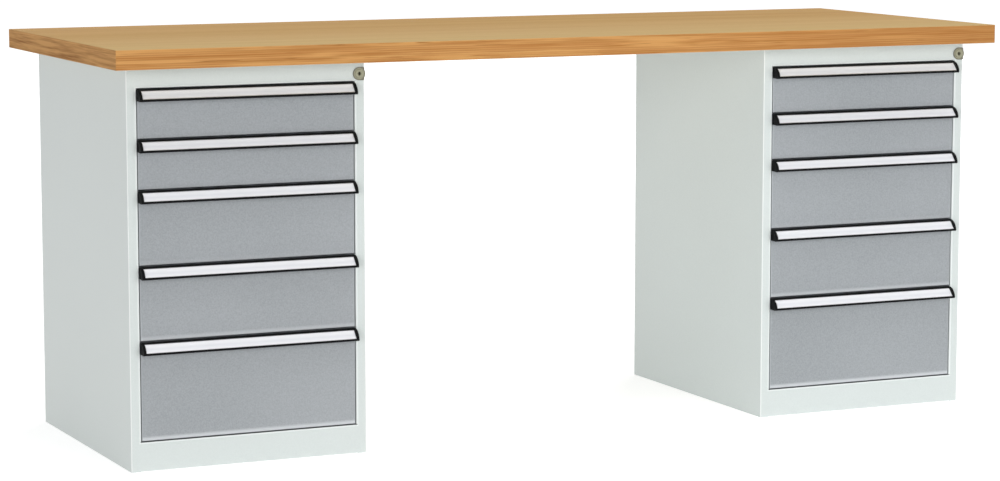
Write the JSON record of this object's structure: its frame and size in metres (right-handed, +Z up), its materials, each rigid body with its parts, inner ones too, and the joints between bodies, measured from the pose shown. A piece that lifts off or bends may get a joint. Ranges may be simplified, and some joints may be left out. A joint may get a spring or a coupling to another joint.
{
  "type": "workbench with drawers",
  "caption": "Long workbench: a thick multiplex top on steel pedestal cabinets at both ends, with stacked sliding drawers, full-width handle strips and central locks.",
  "frame": {"origin": "centre of the footprint's bounding box on the floor, under the middle of the worktop's length", "axes": "+X along the bench to the right, seen from the drawers' side; +Y from the drawer fronts to the back; +Z up"},
  "size_m": [2, 0.75, 0.84],
  "materials": {
    "multiplex": "oiled beech multiplex, satin",
    "cabinet_paint": "light grey powder coat, satin with a fine texture",
    "front_paint": "mid grey powder coat, fine texture",
    "handle_aluminium": "satin anodised",
    "black_plastic": "matt, moulded",
    "nickel": "satin nickel plate",
    "zinc_steel": "bright zinc plate"
  },
  "bodies": {
    "bench": {"worktop": "multiplex", "top_screws": "zinc_steel", "left_side_panels": "cabinet_paint", "left_uprights": "cabinet_paint", "left_back_panel": "cabinet_paint", "left_base": "cabinet_paint", "left_top_rails": "cabinet_paint", "left_runners": "zinc_steel", "left_lock_body": "nickel", "right_side_panels": "cabinet_paint", "right_uprights": "cabinet_paint", "right_back_panel": "cabinet_paint", "right_base": "cabinet_paint", "right_top_rails": "cabinet_paint", "right_runners": "zinc_steel", "right_lock_body": "nickel"},
    "left_lock_plug": {"left_lock_plug": "nickel"},
    "left_lock_bar": {"left_lock_bar": "zinc_steel"},
    "left_drawer_1": {"left_drawer_1_box": "cabinet_paint", "left_drawer_1_front": "front_paint", "left_drawer_1_handle": "handle_aluminium", "left_drawer_1_handle_trim": "black_plastic"},
    "left_drawer_2": {"left_drawer_2_box": "cabinet_paint", "left_drawer_2_front": "front_paint", "left_drawer_2_handle": "handle_aluminium", "left_drawer_2_handle_trim": "black_plastic"},
    "left_drawer_3": {"left_drawer_3_box": "cabinet_paint", "left_drawer_3_front": "front_paint", "left_drawer_3_handle": "handle_aluminium", "left_drawer_3_handle_trim": "black_plastic"},
    "left_drawer_4": {"left_drawer_4_box": "cabinet_paint", "left_drawer_4_front": "front_paint", "left_drawer_4_handle": "handle_aluminium", "left_drawer_4_handle_trim": "black_plastic"},
    "left_drawer_5": {"left_drawer_5_box": "cabinet_paint", "left_drawer_5_front": "front_paint", "left_drawer_5_handle": "handle_aluminium", "left_drawer_5_handle_trim": "black_plastic"},
    "right_lock_plug": {"right_lock_plug": "nickel"},
    "right_lock_bar": {"right_lock_bar": "zinc_steel"},
    "right_drawer_1": {"right_drawer_1_box": "cabinet_paint", "right_drawer_1_front": "front_paint", "right_drawer_1_handle": "handle_aluminium", "right_drawer_1_handle_trim": "black_plastic"},
    "right_drawer_2": {"right_drawer_2_box": "cabinet_paint", "right_drawer_2_front": "front_paint", "right_drawer_2_handle": "handle_aluminium", "right_drawer_2_handle_trim": "black_plastic"},
    "right_drawer_3": {"right_drawer_3_box": "cabinet_paint", "right_drawer_3_front": "front_paint", "right_drawer_3_handle": "handle_aluminium", "right_drawer_3_handle_trim": "black_plastic"},
    "right_drawer_4": {"right_drawer_4_box": "cabinet_paint", "right_drawer_4_front": "front_paint", "right_drawer_4_handle": "handle_aluminium", "right_drawer_4_handle_trim": "black_plastic"},
    "right_drawer_5": {"right_drawer_5_box": "cabinet_paint", "right_drawer_5_front": "front_paint", "right_drawer_5_handle": "handle_aluminium", "right_drawer_5_handle_trim": "black_plastic"}
  },
  "joints": [
    {"name": "left_lock_turn", "type": "hinge", "parent": "bench", "child": "left_lock_plug", "pos_m": [-0.4715, -0.31, 0.7745], "axis": [0, 1, 0], "range_deg": [0, 90]},
    {"name": "left_lock_bar_slide", "type": "slide", "parent": "bench", "child": "left_lock_bar", "axis": [0, 0, -1], "range_m": [0, 0.00636]},
    {"name": "left_drawer_1_slide", "type": "slide", "parent": "bench", "child": "left_drawer_1", "axis": [0, -1, 0], "range_m": [0, 0.4]},
    {"name": "left_drawer_2_slide", "type": "slide", "parent": "bench", "child": "left_drawer_2", "axis": [0, -1, 0], "range_m": [0, 0.4]},
    {"name": "left_drawer_3_slide", "type": "slide", "parent": "bench", "child": "left_drawer_3", "axis": [0, -1, 0], "range_m": [0, 0.4]},
    {"name": "left_drawer_4_slide", "type": "slide", "parent": "bench", "child": "left_drawer_4", "axis": [0, -1, 0], "range_m": [0, 0.4]},
    {"name": "left_drawer_5_slide", "type": "slide", "parent": "bench", "child": "left_drawer_5", "axis": [0, -1, 0], "range_m": [0, 0.4]},
    {"name": "right_lock_turn", "type": "hinge", "parent": "bench", "child": "right_lock_plug", "pos_m": [0.9485, -0.31, 0.7745], "axis": [0, 1, 0], "range_deg": [0, 90]},
    {"name": "right_lock_bar_slide", "type": "slide", "parent": "bench", "child": "right_lock_bar", "axis": [0, 0, -1], "range_m": [0, 0.00636]},
    {"name": "right_drawer_1_slide", "type": "slide", "parent": "bench", "child": "right_drawer_1", "axis": [0, -1, 0], "range_m": [0, 0.4]},
    {"name": "right_drawer_2_slide", "type": "slide", "parent": "bench", "child": "right_drawer_2", "axis": [0, -1, 0], "range_m": [0, 0.4]},
    {"name": "right_drawer_3_slide", "type": "slide", "parent": "bench", "child": "right_drawer_3", "axis": [0, -1, 0], "range_m": [0, 0.4]},
    {"name": "right_drawer_4_slide", "type": "slide", "parent": "bench", "child": "right_drawer_4", "axis": [0, -1, 0], "range_m": [0, 0.4]},
    {"name": "right_drawer_5_slide", "type": "slide", "parent": "bench", "child": "right_drawer_5", "axis": [0, -1, 0], "range_m": [0, 0.4]}
  ],
  "couplings": [
    {"joint": "left_lock_turn", "follows": "left_lock_bar_slide", "rad_per_m": 246.83},
    {"joint": "right_lock_turn", "follows": "right_lock_bar_slide", "rad_per_m": 246.83}
  ]
}
